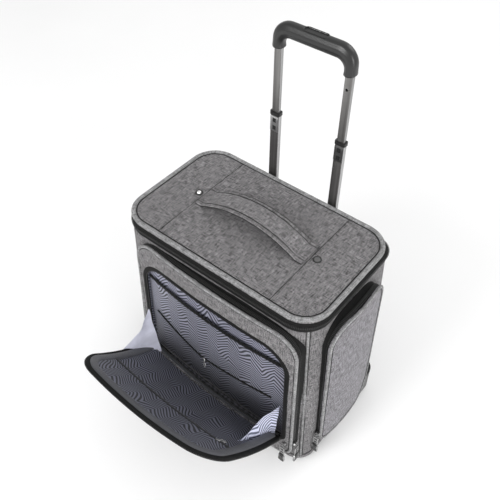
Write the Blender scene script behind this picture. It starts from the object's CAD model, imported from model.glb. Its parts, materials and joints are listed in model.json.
"""The looks of the rolling laptop case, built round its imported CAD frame.

Shapes are worked out in millimetres about the case's own centre line, as the CAD is, and turned into
metres in the frame's own place by put(). Soft pieces replace their CAD solids; hard CAD parts stay and get
better materials.
"""

import json
from contextlib import contextmanager
from math import cos, pi, radians, sin, tan

import bmesh
import bpy
import numpy as np
from mathutils import Matrix, Vector, noise

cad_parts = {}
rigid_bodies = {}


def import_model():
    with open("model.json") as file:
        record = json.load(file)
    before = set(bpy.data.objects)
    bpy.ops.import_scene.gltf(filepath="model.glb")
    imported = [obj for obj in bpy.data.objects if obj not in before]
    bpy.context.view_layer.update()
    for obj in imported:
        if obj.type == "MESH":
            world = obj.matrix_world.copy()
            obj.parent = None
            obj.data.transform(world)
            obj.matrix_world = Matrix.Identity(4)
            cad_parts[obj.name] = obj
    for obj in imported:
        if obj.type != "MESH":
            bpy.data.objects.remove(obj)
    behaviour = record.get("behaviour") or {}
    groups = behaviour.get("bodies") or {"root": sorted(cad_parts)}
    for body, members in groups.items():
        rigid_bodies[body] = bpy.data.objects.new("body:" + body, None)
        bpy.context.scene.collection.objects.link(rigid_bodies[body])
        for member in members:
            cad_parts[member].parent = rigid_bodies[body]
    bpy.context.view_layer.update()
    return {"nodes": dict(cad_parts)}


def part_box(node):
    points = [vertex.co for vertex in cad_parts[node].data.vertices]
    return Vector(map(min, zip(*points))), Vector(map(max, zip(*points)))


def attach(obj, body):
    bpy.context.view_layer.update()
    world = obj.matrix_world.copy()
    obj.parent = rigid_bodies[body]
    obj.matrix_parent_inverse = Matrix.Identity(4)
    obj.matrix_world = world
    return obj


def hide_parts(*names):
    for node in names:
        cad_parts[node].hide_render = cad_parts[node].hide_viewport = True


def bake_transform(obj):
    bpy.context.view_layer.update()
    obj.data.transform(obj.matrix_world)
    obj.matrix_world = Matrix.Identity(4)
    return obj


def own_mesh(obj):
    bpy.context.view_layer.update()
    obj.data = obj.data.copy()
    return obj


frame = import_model()

# ---------------------------------------------------------------- sizes, in millimetres
MM = 0.001
lid_low, lid_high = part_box("lid_board")
CENTRE_Y = (lid_low[1] + lid_high[1]) / 2

BASE_Z, RIM_Z = 14.0, 402.0
TOP_HALF_W, TOP_HALF_D, TOP_R, TOP_BACK_R = 197.0, 116.5, 47.0, 28.0
FOOT_HALF_W, FOOT_HALF_D, FOOT_R, FOOT_BACK_R = 213.0, 119.0, 36.0, 18.0
# points along each side of a plan outline, and round each corner
PLAN_EDGES, PLAN_ARC = (48, 32, 48, 32), 12
# the wheel wells, the corner piping's ends, and how far back the foot binding runs to the wheel guards
WELL_X0, WELL_X1, WELL_Y, WELL_Z = 164.0, 203.0, 66.0, 62.0
PIPING_Z1, PIPING_FRONT_Z0, PIPING_BACK_Z0 = 394.0, 20.0, 76.0
GUARD_Y = 52.0
TOOTH_PITCH, STRAP_STITCH = 2.6, 4.4

LID_Z, LID_T = 421.5, 11.0
LID_HALF_W, LID_HALF_D, LID_R = 200.0, 119.4, 50.0
STRAP_HALF_W, STRAP_HALF_SPAN, STRAP_RISE, STRAP_T = 25.0, 112.0, 27.0, 3.0
STUD_X = 125.0
LID_SEAM_X = 115.0
HINGE_HALF = 150.0
LOWER_TAPE_Z, UPPER_TAPE_Z = (392.5, 403.3), (404.7, 412.5)

POCKET_X = 12.0
# arches: half widths at top and foot, heights, and radii at the top, left foot and right foot
# bows: depths at the left, middle and right (front, middle and back on a side), first along the foot and
# then along the top
POCKET_ARCH = (174.0, 184.0, 48.0, 386.0, (46.0, 24.0, 24.0))
FLAP_ARCH = (157.0, 164.0, 92.0, 342.0, (52.0, 18.0, 18.0))
PANEL_BOW = ((-127.0, -147.0, -134.0), (-122.0, -136.0, -129.0))
ZIP_BOW = ((-121.0, -134.0, -125.0), (-116.8, -125.0, -121.0))
LINING_BOW = ((-121.5, -131.0, -126.0), (-117.6, -127.0, -122.0))
FRONT_CHORD, FRONT_Z = 190.0, (42.0, 392.0)
PANEL_T = 4.0
SLIP_Z0, SLIP_Z1 = 98.0, 304.0
SLIP_ZIP_X, SLIP_ZIP_Z = (-142.0, 130.0), 168.0
FRONT_TEETH_Z0, SIDE_TEETH_Z0, OPENING_TEETH_Z0 = 62.0, 74.0, 104.0

FLAP_AXIS_Y, FLAP_AXIS_Z, FLAP_OPEN = -143.0, 93.0, 45.0
FLAP_HEM = 6.0
FLAP_SLIP_Z, FLAP_SLIP_Z1 = 252.0, 322.0
FLAP_FOLD_HALF = 158.0
FLAP_CURL = (14.5, -2.3, -10.0)
FLAP_SAG, FLAP_NOSE = 17.0, (0.0, -10.0, 3.4)

SIDE_Y = -5.0
SIDE_ARCH = (77.0, 76.0, 62.0, 386.0, (46.0, 14.0, 50.0))
SIDE_BOW = ((223.0, 232.0, 223.0), (212.0, 223.0, 212.0))
SIDE_ZIP_BOW = ((218.0, 224.0, 218.0), (206.0, 213.0, 206.0))
SIDE_CHORD, SIDE_Z = 81.0, (56.0, 392.0)

TUBE_X, TUBE_Y = 65.0, 136.3
STAGE_D, STOP_HEIGHTS = 10.0, (529.0, 514.0)
COVER_HALF, COVER_Y, COVER_R, COVER_Z0, COVER_Z1 = 104.0, 150.0, 16.0, 60.0, 362.0
COVER_FOOT_Y = 115.0
GRIP_Z0, GRIP_Z1 = 664.0, 710.0
GRIP_HALF, GRIP_LEG, GRIP_BAR, GRIP_D = 74.5, 19.0, 25.0, 22.0
GRIP_R_OUT, GRIP_R_IN = 30.0, 14.0
ZIPS = ("front", "flap", "side_right", "side_left", "lid")
TAB_LENGTH, PULL_BARS = 12.0, (14.2, 17.4, 20.6, 23.8)


# ---------------------------------------------------------------- node materials
class Nodes:
    """A short way to build a node tree."""

    def __init__(self, name):
        self.material = bpy.data.materials.new(name)
        self.material.use_nodes = True
        self.tree = self.material.node_tree
        self.shader = self.tree.nodes["Principled BSDF"]

    def add(self, kind, **settings):
        node = self.tree.nodes.new(kind)
        for key, value in settings.items():
            setattr(node, key, value)
        return node

    def wire(self, source, target):
        self.tree.links.new(source, target)

    def value(self, target, given):
        """Set a socket from a number or another socket."""
        if isinstance(given, bpy.types.NodeSocket):
            self.wire(given, target)
        else:
            target.default_value = given

    def maths(self, operation, a, b=0.0, c=0.0):
        node = self.add("ShaderNodeMath", operation=operation)
        for socket, given in zip(node.inputs, (a, b, c)):
            self.value(socket, given)
        return node.outputs[0]

    def plus(self, base, value, share):
        """A base and a share of a value, together."""
        return self.maths("ADD", base, self.maths("MULTIPLY", value, share))

    def wave(self, source, pitch):
        return self.maths("SINE", self.maths("MULTIPLY", source, 2 * pi / pitch))

    def part(self, kind, index):
        """One of the surface coordinates of a kind; UVs are in metres."""
        split = self.add("ShaderNodeSeparateXYZ")
        self.wire(self.add("ShaderNodeTexCoord").outputs[kind], split.inputs[0])
        return split.outputs[index]

    def noise(self, kind, scale, detail, roughness=0.5, distortion=0.0):
        """Noise over the surface coordinates of a kind, stretched by scale."""
        mapping = self.add("ShaderNodeMapping")
        mapping.inputs["Scale"].default_value = scale
        self.wire(self.add("ShaderNodeTexCoord").outputs[kind], mapping.inputs["Vector"])
        node = self.add("ShaderNodeTexNoise")
        self.wire(mapping.outputs["Vector"], node.inputs["Vector"])
        settings = {"Scale": 1.0, "Detail": detail, "Roughness": roughness, "Distortion": distortion}
        for name, given in settings.items():
            node.inputs[name].default_value = given
        return node.outputs["Fac"]

    def ramp(self, source, stops):
        """A colour ramp through (place, colour) stops."""
        node = self.add("ShaderNodeValToRGB")
        ramp = node.color_ramp
        while len(ramp.elements) < len(stops):
            ramp.elements.new(0.5)
        for element, (place, colour) in zip(ramp.elements, stops):
            element.position = place
            element.color = (*colour, 1.0)
        self.wire(source, node.inputs["Fac"])
        return node.outputs["Color"]

    def mix(self, share, a, b, blend="MIX"):
        node = self.add("ShaderNodeMix", data_type="RGBA", blend_type=blend)
        self.value(node.inputs["Factor"], share)
        for socket, given in ((node.inputs["A"], a), (node.inputs["B"], b)):
            if isinstance(given, tuple):
                socket.default_value = (*given, 1.0)
            else:
                self.wire(given, socket)
        return node.outputs["Result"]

    def shade(self, colour, source, *stops):
        """A colour darkened or lightened by a source, through (place, level) stops."""
        levels = [(place, grey(level)) for place, level in stops]
        return self.mix(1.0, colour, self.ramp(source, levels), "MULTIPLY")

    def bump(self, height, strength, distance):
        node = self.add("ShaderNodeBump")
        node.inputs["Strength"].default_value = strength
        node.inputs["Distance"].default_value = distance
        self.wire(height, node.inputs["Height"])
        self.wire(node.outputs["Normal"], self.shader.inputs["Normal"])

    def finish(self, colour, roughness, **plain):
        """Connect colour and roughness, and set the shader's plain inputs."""
        self.wire(colour, self.shader.inputs["Base Color"])
        self.value(self.shader.inputs["Roughness"], roughness)
        for name, given in plain.items():
            self.shader.inputs[name.replace("_", " ")].default_value = given
        return self.material


def grey(level, warm=0.0):
    return (level * (1 + warm), level, level * (1 - warm))


def tinted(level, tint):
    return tuple(level * t for t in tint)


def heather(name, level, tint=(1.0, 1.0, 1.0), contrast=0.6):
    """Two-tone woven polyester: streaks of light and dark yarn running both ways."""
    n = Nodes(name)
    warp = n.noise("UV", (780.0, 72.0, 1.0), 2.0, 0.65)
    weft = n.noise("UV", (72.0, 780.0, 1.0), 2.0, 0.65)
    speck = n.noise("UV", (820.0, 820.0, 1.0), 1.0)
    yarn = n.plus(n.maths("MULTIPLY", warp, 0.35), weft, 0.35)
    yarn = n.plus(yarn, speck, 0.30)
    dark, light = level * (1 - 1.4 * contrast), level * (1 + 2.3 * contrast)
    stops = [(0.42, tinted(dark, tint)), (0.49, tinted(level, tint)), (0.57, tinted(light, tint))]
    colour = n.ramp(yarn, stops)
    broad = n.noise("UV", (9.0, 9.0, 1.0), 3.0)
    colour = n.shade(colour, broad, (0.3, 0.93), (0.7, 1.05))
    yarn_pitch = 0.0011
    weave = n.maths("MULTIPLY", n.wave(n.part("UV", 0), yarn_pitch), n.wave(n.part("UV", 1), yarn_pitch))
    n.bump(n.plus(yarn, weave, 0.35), 0.5, 0.0007)
    return n.finish(colour, n.plus(0.82, yarn, 0.12), Sheen_Weight=0.08, Sheen_Roughness=0.5)


def contour_lining(name, ground, line, foot=None):
    """Thin lining woven with fine lines that run in chevrons and wander, like the contours of a map.

    With foot, a pair of heights in metres, the cloth darkens down from the second to the first.
    """
    n = Nodes(name)
    pitch = 0.0075
    hills = n.noise("UV", (13.0, 13.0, 1.0), 1.0, 0.4, 0.3)
    zigzag = n.maths("PINGPONG", n.part("UV", 0), 0.024)
    phase = n.plus(n.maths("MULTIPLY", n.part("UV", 1), 1 / pitch), hills, 7.0)
    wave = n.wave(n.plus(phase, zigzag, 0.8 / pitch), 1.0)
    colour = n.ramp(n.maths("MULTIPLY_ADD", wave, 0.5, 0.5), [(0.38, line), (0.62, ground)])
    cloud = n.noise("UV", (12.0, 12.0, 1.0), 3.0)
    colour = n.shade(colour, cloud, (0.3, 0.86), (0.7, 1.1))
    if foot:
        height = n.maths("DIVIDE", n.maths("SUBTRACT", n.part("Object", 2), foot[0]), foot[1] - foot[0])
        colour = n.shade(colour, height, (0.0, 0.12), (1.0, 1.0))
    grain = n.noise("UV", (1500.0, 1500.0, 1.0), 1.0)
    n.bump(n.plus(grain, wave, 0.3), 0.25, 0.0004)
    return n.finish(colour, 0.62, Sheen_Weight=0.1, Sheen_Roughness=0.4)


def plain_cloth(name, level, tint, crease=0.5):
    """Fine plain nylon with soft creases."""
    n = Nodes(name)
    grain = n.noise("UV", (1300.0, 1300.0, 1.0), 1.0)
    folds = n.noise("UV", (26.0, 40.0, 1.0), 4.0, 0.5, 0.8)
    colour = n.ramp(folds, [(0.3, tinted(0.86 * level, tint)), (0.7, tinted(1.12 * level, tint))])
    n.bump(n.plus(grain, folds, crease * 6.0), 0.4, 0.0012)
    return n.finish(colour, 0.6, Sheen_Weight=0.1, Sheen_Roughness=0.4)


def ribbed_tape(name, level):
    """Woven zip tape, ribbed along its length."""
    n = Nodes(name)
    rib = n.wave(n.part("UV", 1), 0.0013)
    fleck = n.noise("UV", (700.0, 260.0, 1.0), 2.0)
    colour = n.ramp(fleck, [(0.35, grey(level * 0.6)), (0.7, grey(level * 1.8))])
    n.bump(n.plus(fleck, rib, 0.5), 0.5, 0.0005)
    return n.finish(colour, 0.8, Specular_IOR_Level=0.25)


def thread(name, level):
    """Twisted sewing thread."""
    n = Nodes(name)
    ply = n.noise("Object", (900.0, 900.0, 900.0), 2.0)
    colour = n.ramp(ply, [(0.3, grey(0.7 * level)), (0.7, grey(1.25 * level))])
    n.bump(ply, 0.4, 0.0003)
    return n.finish(colour, 0.75, Specular_IOR_Level=0.3)


def metal(name, level, rough, streak=(60.0, 60.0, 900.0)):
    """Metal with fine brush marks and handling marks."""
    n = Nodes(name)
    brush = n.noise("Object", streak, 2.0)
    smudge = n.noise("Object", (30.0, 30.0, 30.0), 4.0)
    colour = n.ramp(smudge, [(0.3, grey(level * 0.88)), (0.7, grey(level * 1.08))])
    n.bump(brush, 0.12, 0.0002)
    return n.finish(colour, n.plus(rough - 0.08, smudge, 0.16), Metallic=1.0)


def plastic(name, level, rough, grain=1400.0):
    """Moulded plastic with a fine spark-eroded grain and light scuffs."""
    n = Nodes(name)
    texture = n.noise("Object", (grain, grain, grain), 2.0)
    scuff = n.noise("Object", (22.0, 22.0, 22.0), 5.0, 0.6)
    colour = n.ramp(scuff, [(0.35, grey(level * 0.9)), (0.7, grey(level * 1.15))])
    n.bump(texture, 0.18, 0.0003)
    return n.finish(colour, n.plus(rough - 0.06, scuff, 0.14))


def rubber(name, level):
    """Wheel tread: matt, dusty, with fine moulding lines round it."""
    n = Nodes(name)
    dust = n.noise("Object", (45.0, 45.0, 45.0), 5.0, 0.65)
    colour = n.ramp(dust, [(0.4, grey(level)), (0.75, grey(level * 2.4, 0.05))])
    lines = n.noise("Object", (900.0, 60.0, 60.0), 1.0)
    n.bump(n.maths("ADD", lines, dust), 0.3, 0.0005)
    return n.finish(colour, 0.8)


def anodised(name, front, side, rough):
    """Dark anodised tube whose narrow side faces are worn bright by the stages sliding."""
    n = Nodes(name)
    sideways = n.maths("ABSOLUTE", n.part("Normal", 0))
    share = n.ramp(sideways, [(0.55, grey(0.0)), (0.85, grey(1.0))])
    streaks = n.noise("Object", (140.0, 140.0, 3.0), 3.0)
    dark = n.ramp(streaks, [(0.3, grey(front * 0.7, 0.02)), (0.7, grey(front * 1.3, 0.02))])
    bright = n.ramp(streaks, [(0.3, grey(side * 0.75)), (0.7, grey(side * 1.15))])
    colour = n.mix(share, dark, bright)
    brush = n.noise("Object", (900.0, 900.0, 20.0), 2.0)
    n.bump(brush, 0.15, 0.0002)
    return n.finish(colour, n.plus(rough - 0.08, streaks, 0.16), Metallic=0.9)


SHELL = heather("heather_shell", 0.122, (1.01, 0.975, 1.0))
SHELL_LIGHT = heather("heather_side", 0.150, (1.0, 0.965, 1.04), 0.55)
STRAP = heather("heather_strap", 0.128, (1.01, 0.975, 1.0), 0.6)
BINDING = heather("heather_binding", 0.200, (1.0, 1.0, 1.01), 0.4)
LINING = contour_lining("lining_contours", (0.32, 0.325, 0.41), (0.022, 0.024, 0.038), (0.095, 0.20))
SLIP_LINING = contour_lining(
    "lining_contours_slip", (0.31, 0.315, 0.39), (0.009, 0.010, 0.016), (0.085, 0.235)
)
FLAP_LINING = contour_lining("lining_contours_flap", (0.175, 0.18, 0.23), (0.006, 0.007, 0.010))
GORE_PRINT = contour_lining("lining_contours_pale", (0.74, 0.76, 0.94), (0.13, 0.14, 0.20))
GORE_CLOTH = plain_cloth("gore_nylon", 0.74, (0.95, 0.96, 1.12))
DEEP_BINDING = plain_cloth("slip_binding_cloth", 0.022, (0.95, 0.97, 1.08), 0.3)
RIM_CLOTH = plain_cloth("flap_rim_cloth", 0.095, (0.95, 0.97, 1.08), 0.3)
TAPE = ribbed_tape("black_tape", 0.0045)
ELASTIC = ribbed_tape("black_elastic", 0.004)
TEETH = plastic("zip_teeth", 0.020, 0.45)
DARK_THREAD = thread("dark_thread", 0.012)
GREY_THREAD = thread("grey_thread", 0.10)
SILVER = metal("silver_die_cast", 0.40, 0.28, (200.0, 200.0, 200.0))
CHROME = metal("polished_stud", 0.86, 0.14)
DARK_METAL = metal("blackened_metal", 0.06, 0.4)
GUNMETAL = metal("gunmetal_tube", 0.17, 0.36)
INNER_TUBE = anodised("anodised_inner", 0.20, 0.34, 0.34)
MIDDLE_TUBE = anodised("anodised_middle", 0.19, 0.46, 0.42)
STEEL = metal("zinc_steel", 0.5, 0.35)
GRIP = plastic("grip_plastic", 0.013, 0.30, 1600.0)
BLACK = plastic("black_plastic", 0.007, 0.45)
BUTTON = plastic("button_plastic", 0.005, 0.35)
GUARD = plastic("guard_plastic", 0.085, 0.5)
HUB = plastic("hub_plastic", 0.06, 0.4)
PULL_TAB = plastic("pull_tab_plastic", 0.028, 0.5)
TYRE = rubber("tyre_rubber", 0.012)
BOARD = plastic("base_board_sheet", 0.012, 0.6)


# ---------------------------------------------------------------- geometry helpers
def put(points):
    """Millimetres about the case's centre line, as metres in the frame."""
    return np.asarray(points, float) * MM + np.array([0.0, CENTRE_Y, 0.0])


def shade_smooth(obj):
    obj.data.polygons.foreach_set("use_smooth", [True] * len(obj.data.polygons))


def own(obj, material, body):
    """Give a piece its material, its slot and, if it has only one, its body."""
    obj.data.materials.append(material)
    shade_smooth(obj)
    if body:
        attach(obj, body)
    return obj


def mesh_object(name, points, faces, loops_uv):
    mesh = bpy.data.meshes.new(name)
    mesh.from_pydata([tuple(p) for p in put(points)], [], [tuple(f) for f in faces])
    layer = mesh.uv_layers.new(name="UVMap")
    layer.data.foreach_set("uv", np.asarray(loops_uv, float).ravel())
    obj = bpy.data.objects.new(name, mesh)
    bpy.context.scene.collection.objects.link(obj)
    return obj


@contextmanager
def editing(obj):
    """A piece's mesh, open for changes and written back after them."""
    work = bmesh.new()
    work.from_mesh(obj.data)
    yield work
    work.to_mesh(obj.data)
    work.free()


def local_box(node):
    """A CAD node's box, in millimetres about the case's centre line."""
    low, high = (np.array(p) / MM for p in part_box(node))
    low[1] -= CENTRE_Y / MM
    high[1] -= CENTRE_Y / MM
    return low, high


def unit(vectors):
    return vectors / np.linalg.norm(vectors, axis=-1, keepdims=True)


def at_height(loop, z):
    """A plan outline laid at a height."""
    return np.column_stack([loop, np.full(len(loop), z)])


def distances(points):
    """How far along a line of points each one lies."""
    steps = np.linalg.norm(np.diff(points, axis=0), axis=1)
    return np.concatenate([[0.0], np.cumsum(steps)])


def grid(name, rows, closed=False, flat=None, drop=None):
    """A sheet through rows of points, its UVs in metres along and across, or from a flat projection."""
    rows = np.asarray(rows, float)
    count, across = rows.shape[:2]
    columns = across if closed else across - 1
    u = distances(np.concatenate([rows[count // 2], rows[count // 2][:1]])) * MM
    v = distances(rows[:, across // 3]) * MM
    faces, uvs = [], []
    for i in range(count - 1):
        for j in range(columns):
            if drop is not None and drop[i, j]:
                continue
            cells = [(i, j), (i, j + 1), (i + 1, j + 1), (i + 1, j)]
            faces.append([a * across + b % across for a, b in cells])
            if flat is None:
                uvs.extend((u[b], v[a]) for a, b in cells)
            else:
                uvs.extend(rows[a, b % across][list(flat)] * MM for a, b in cells)
    obj = mesh_object(name, rows.reshape(-1, 3), faces, uvs)
    with editing(obj) as work:
        bmesh.ops.delete(work, geom=[p for p in work.verts if not p.link_faces], context="VERTS")
    return obj


def solid(obj, thickness, offset=-1.0):
    """Give a sheet thickness."""
    modifier = obj.modifiers.new("thickness", "SOLIDIFY")
    modifier.thickness = thickness * MM
    modifier.offset = offset


def smoothed(obj):
    """Round a piece off by one step of subdivision."""
    modifier = obj.modifiers.new("smoothing", "SUBSURF")
    modifier.levels = modifier.render_levels = 1


def frames(path, normal, closed=False):
    """Tangent, side and up at each point of a path, up being as near as it can be to normal."""
    if closed:
        tangent = unit(np.roll(path, -1, axis=0) - np.roll(path, 1, axis=0))
    else:
        tangent = unit(np.gradient(path, axis=0))
    side = unit(np.cross(tangent, normal))
    return tangent, side, np.cross(side, tangent)


def sweep(name, path, profile, normal, closed=False):
    """A profile of (sideways, up) points carried along a path."""
    path = np.asarray(path, float)
    side, up = frames(path, normal, closed)[1:]
    rings = path[:, None] + profile[None, :, :1] * side[:, None] + profile[None, :, 1:] * up[:, None]
    count, around = rings.shape[:2]
    along = distances(np.concatenate([path, path[:1]])) * MM
    girth = distances(np.concatenate([profile, profile[:1]])) * MM
    faces, uvs = [], []
    for i in range(count if closed else count - 1):
        for j in range(around):
            cells = [(i, j), (i, j + 1), (i + 1, j + 1), (i + 1, j)]
            faces.append([(a % count) * around + b % around for a, b in cells])
            uvs.extend((along[a], girth[b]) for a, b in cells)
    if not closed:
        faces.append(list(range(around))[::-1])
        faces.append([(count - 1) * around + b for b in range(around)])
        uvs.extend([(0.0, 0.0)] * (2 * around))
    return mesh_object(name, rings.reshape(-1, 3), faces, uvs)


def oval(wide, high, count=12, power=1.0):
    """A closed oval profile; a power under one makes it squarer."""
    turns = np.linspace(0, 2 * pi, count, endpoint=False)
    c, s = np.cos(turns), np.sin(turns)
    x = np.sign(c) * np.abs(c) ** power * wide / 2
    y = np.sign(s) * np.abs(s) ** power * high / 2
    return np.stack([x, y], 1)


def evenly(path, pitch, values=None):
    """Points at an even pitch along an open path, or the values given for its points there."""
    along = distances(path)
    places = np.arange(pitch / 2, along[-1], pitch)
    values = path if values is None else values
    return np.stack([np.interp(places, along, values[:, k]) for k in range(3)], 1)


STITCH = (
    [(-1.5, -0.2, 0.0), (-1.5, 0.2, 0.0), (-1.3, 0.0, 0.3)]
    + [(x, y, z) for x in (-0.6, 0.6) for y, z in ((-0.42, 0.0), (0.0, 0.55), (0.42, 0.0))]
    + [(1.5, -0.2, 0.0), (1.5, 0.2, 0.0), (1.3, 0.0, 0.3)],
    [(0, 3, 4, 2), (2, 4, 5, 1), (3, 6, 7, 4), (4, 7, 8, 5), (6, 9, 11, 7), (7, 11, 10, 8)],
)
TOOTH = (
    [(x, y, z) for x in (-0.55, 0.55) for y, z in ((-1.5, -0.5), (1.9, -0.4), (1.6, 0.7), (-1.5, 0.6))],
    [(0, 1, 2, 3), (7, 6, 5, 4), (0, 4, 5, 1), (1, 5, 6, 2), (2, 6, 7, 3), (3, 7, 4, 0)],
)

FLIPPED_TOOTH = ([(x, -y, z) for x, y, z in TOOTH[0]], [cell[::-1] for cell in TOOTH[1]])


def copies(template, spots, tangent, side, up, aside=0.0, lift=0.0):
    """A small shape set at each of the spots, turned to the directions there."""
    shape, cells = np.array(template[0], float), template[1]
    points = (
        spots[:, None]
        + shape[None, :, :1] * tangent[:, None]
        + (shape[None, :, 1:2] + aside) * side[:, None]
        + (shape[None, :, 2:] + lift) * up[:, None]
    )
    faces = [[n * len(shape) + k for k in cell] for n in range(len(spots)) for cell in cells]
    uvs = [(0.0, 0.0)] * sum(len(face) for face in faces)
    return mesh_object("copies", points.reshape(-1, 3), faces, uvs)


def row_of(template, path, normal, pitch, aside=0.0, lift=0.0):
    """Copies of a small shape set along an open path, or nothing if it is too short."""
    spots = evenly(path, pitch)
    if len(spots) < 3:
        return None
    return copies(template, spots, *frames(spots, normal), aside, lift)


def rows_of(template, path, wanted, normal, pitch, aside=0.0):
    """Copies of a small shape along each stretch of a closed path where wanted holds."""
    return [row_of(template, run, normal, pitch, aside) for run in runs(path, wanted)]


def rounded_loop(corners, radii, edges, arc=10):
    """A closed line round a polygon with round corners, always with the same number of points."""
    corners = np.array(corners, float)
    count = len(corners)
    arcs = []
    for k in range(count):
        point, before, after = corners[k], corners[k - 1], corners[(k + 1) % count]
        u = (before - point) / np.linalg.norm(before - point)
        v = (after - point) / np.linalg.norm(after - point)
        half = 0.5 * np.arccos(np.clip(u @ v, -1, 1))
        middle = point + (u + v) / np.linalg.norm(u + v) * radii[k] / sin(half)
        start = point + u * radii[k] / tan(half) - middle
        stop = point + v * radii[k] / tan(half) - middle
        first = np.arctan2(start[1], start[0])
        turn = (np.arctan2(stop[1], stop[0]) - first + pi) % (2 * pi) - pi
        turns = first + turn * np.linspace(0, 1, arc + 1)
        arcs.append(middle + radii[k] * np.stack([np.cos(turns), np.sin(turns)], 1))
    points = []
    for k in range(count):
        points.extend(arcs[k])
        start, stop = arcs[k][-1], arcs[(k + 1) % count][0]
        for share in np.linspace(0, 1, edges[k] + 1)[1:-1]:
            points.append(start + (stop - start) * share)
    return np.array(points)


def plan_loop(half_w, half_d, front_r, back_r):
    """The case's plan outline, from the back right corner round the back, left, front and right."""
    corners = [(half_w, half_d), (-half_w, half_d), (-half_w, -half_d), (half_w, -half_d)]
    return rounded_loop(corners, (back_r, back_r, front_r, front_r), PLAN_EDGES, PLAN_ARC)


def case_loop(z, grow=0.0):
    """The case's outline at height z, drawn out by grow."""
    foot = plan_loop(FOOT_HALF_W + grow, FOOT_HALF_D + grow, FOOT_R + grow, FOOT_BACK_R + grow)
    top = plan_loop(TOP_HALF_W + grow, TOP_HALF_D + grow, TOP_R + grow, TOP_BACK_R + grow)
    return at_height(tapered(z, foot, top), z)


def tapered(z, foot, top):
    """What lies between the case's foot and its rim, at a height."""
    return foot + (top - foot) * ((z - BASE_Z) / (RIM_Z - BASE_Z))


def arch_loop(arch, inset=0.0):
    """A pocket's outline seen face on, drawn in by inset: top right corner, then left and round."""
    half_top, half_foot, z0, z1, (r_top, r_left, r_right) = arch
    top, foot, low, high = half_top - inset, half_foot - inset, z0 + inset, z1 - inset
    corners = [(top, high), (-top, high), (-foot, low), (foot, low)]
    radii = [max(r - inset, 2.0) for r in (r_top, r_top, r_left, r_right)]
    return rounded_loop(corners, radii, (44, 36, 44, 36), 10)


def depth(bows, across, z, chord, heights):
    """How deep a bowed panel lies at a place across and up it."""
    k = (z - heights[0]) / (heights[1] - heights[0])
    low, high = (
        mid + (right - left) / (2 * chord) * across + ((left + right) / 2 - mid) * (across / chord) ** 2
        for left, mid, right in bows
    )
    return low + (high - low) * k


def on_front(loop, bows, out=0.0):
    """A face-on outline laid on the bowed front, moved out of it."""
    y = depth(bows, loop[:, 0], loop[:, 1], FRONT_CHORD, FRONT_Z) - out
    return np.column_stack([loop[:, 0] + POCKET_X, y, loop[:, 1]])


def on_side(loop, bows, out=0.0, hand=1):
    """A face-on outline laid on a bowed side, the right one or its mirror image."""
    x = depth(bows, loop[:, 0], loop[:, 1], SIDE_CHORD, SIDE_Z) + out
    return np.column_stack([hand * x, loop[:, 0] + SIDE_Y, loop[:, 1]])


def wall_y(x, z, grow):
    """The case's front wall at a place on it, round its corners too."""
    half_w, half_d = tapered(z, FOOT_HALF_W, TOP_HALF_W) + grow, tapered(z, FOOT_HALF_D, TOP_HALF_D) + grow
    radius = tapered(z, FOOT_R, TOP_R) + grow
    over = np.clip(np.abs(x) - (half_w - radius), 0, radius)
    return -(half_d - radius + np.sqrt(radius**2 - over**2))


def wall_x(y, z, grow):
    """The case's right wall at a place on it."""
    half_w, half_d = tapered(z, FOOT_HALF_W, TOP_HALF_W) + grow, tapered(z, FOOT_HALF_D, TOP_HALF_D) + grow
    radius = np.where(y < 0, tapered(z, FOOT_R, TOP_R), tapered(z, FOOT_BACK_R, TOP_BACK_R))
    over = np.clip(np.abs(y) - (half_d - radius), 0, radius)
    return half_w - radius + np.sqrt(radius**2 - over**2)


def ripple(points, size, wave, seed=0.0):
    """Smooth seeded unevenness, one number for each point."""
    points = np.asarray(points, float)
    flat = points.reshape(-1, points.shape[-1])
    shift = Vector((seed, seed * 1.7, seed * 0.3))
    values = [noise.noise(Vector(tuple(p / wave)) + shift) for p in flat]
    return size * np.array(values).reshape(points.shape[:-1])


def runs(path, wanted):
    """The stretches of a closed path where wanted holds, each as an open path."""
    count = len(path)
    if wanted.all():
        return [path]
    start = int(np.argmin(wanted))
    found, run = [], []
    for k in range(count + 1):
        n = (start + k) % count
        if wanted[n] and k < count:
            run.append(path[n])
        elif run:
            found.append(np.array(run))
            run = []
    return [r for r in found if len(r) > 3]


def joined(name, objs):
    """Several objects as one, keeping their UVs."""
    objs = [o for o in objs if o is not None]
    if len(objs) > 1:
        bpy.ops.object.select_all(action="DESELECT")
        for o in objs:
            o.select_set(True)
        bpy.context.view_layer.objects.active = objs[0]
        bpy.ops.object.join()
    objs[0].name = name
    return objs[0]


FRONT = np.array([0.0, -1.0, 0.0])
UP = np.array([0.0, 0.0, 1.0])


# ---------------------------------------------------------------- case body
def well_cells(rows):
    """Which cells of the case's grid are cut away round the wheels, in its lower back corners."""
    middles = (rows[:-1] + rows[1:]) / 2
    x, y, z = np.moveaxis((middles + np.roll(middles, -1, axis=1)) / 2, -1, 0)
    return (np.abs(x) > WELL_X0) & (np.abs(x) < WELL_X1) & (y > WELL_Y) & (z < WELL_Z)


def corner_line(corner, aside):
    """A line up the middle of one of the case's corners, or to one side of it."""
    middle = corner_middle(corner)
    line = []
    for z in np.linspace(PIPING_FRONT_Z0 if corner > 1 else PIPING_BACK_Z0, PIPING_Z1, 60):
        loop = case_loop(z, 0.4)
        line.append(loop[middle] + unit(loop[middle + 1] - loop[middle - 1]) * aside)
    return np.array(line)


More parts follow.
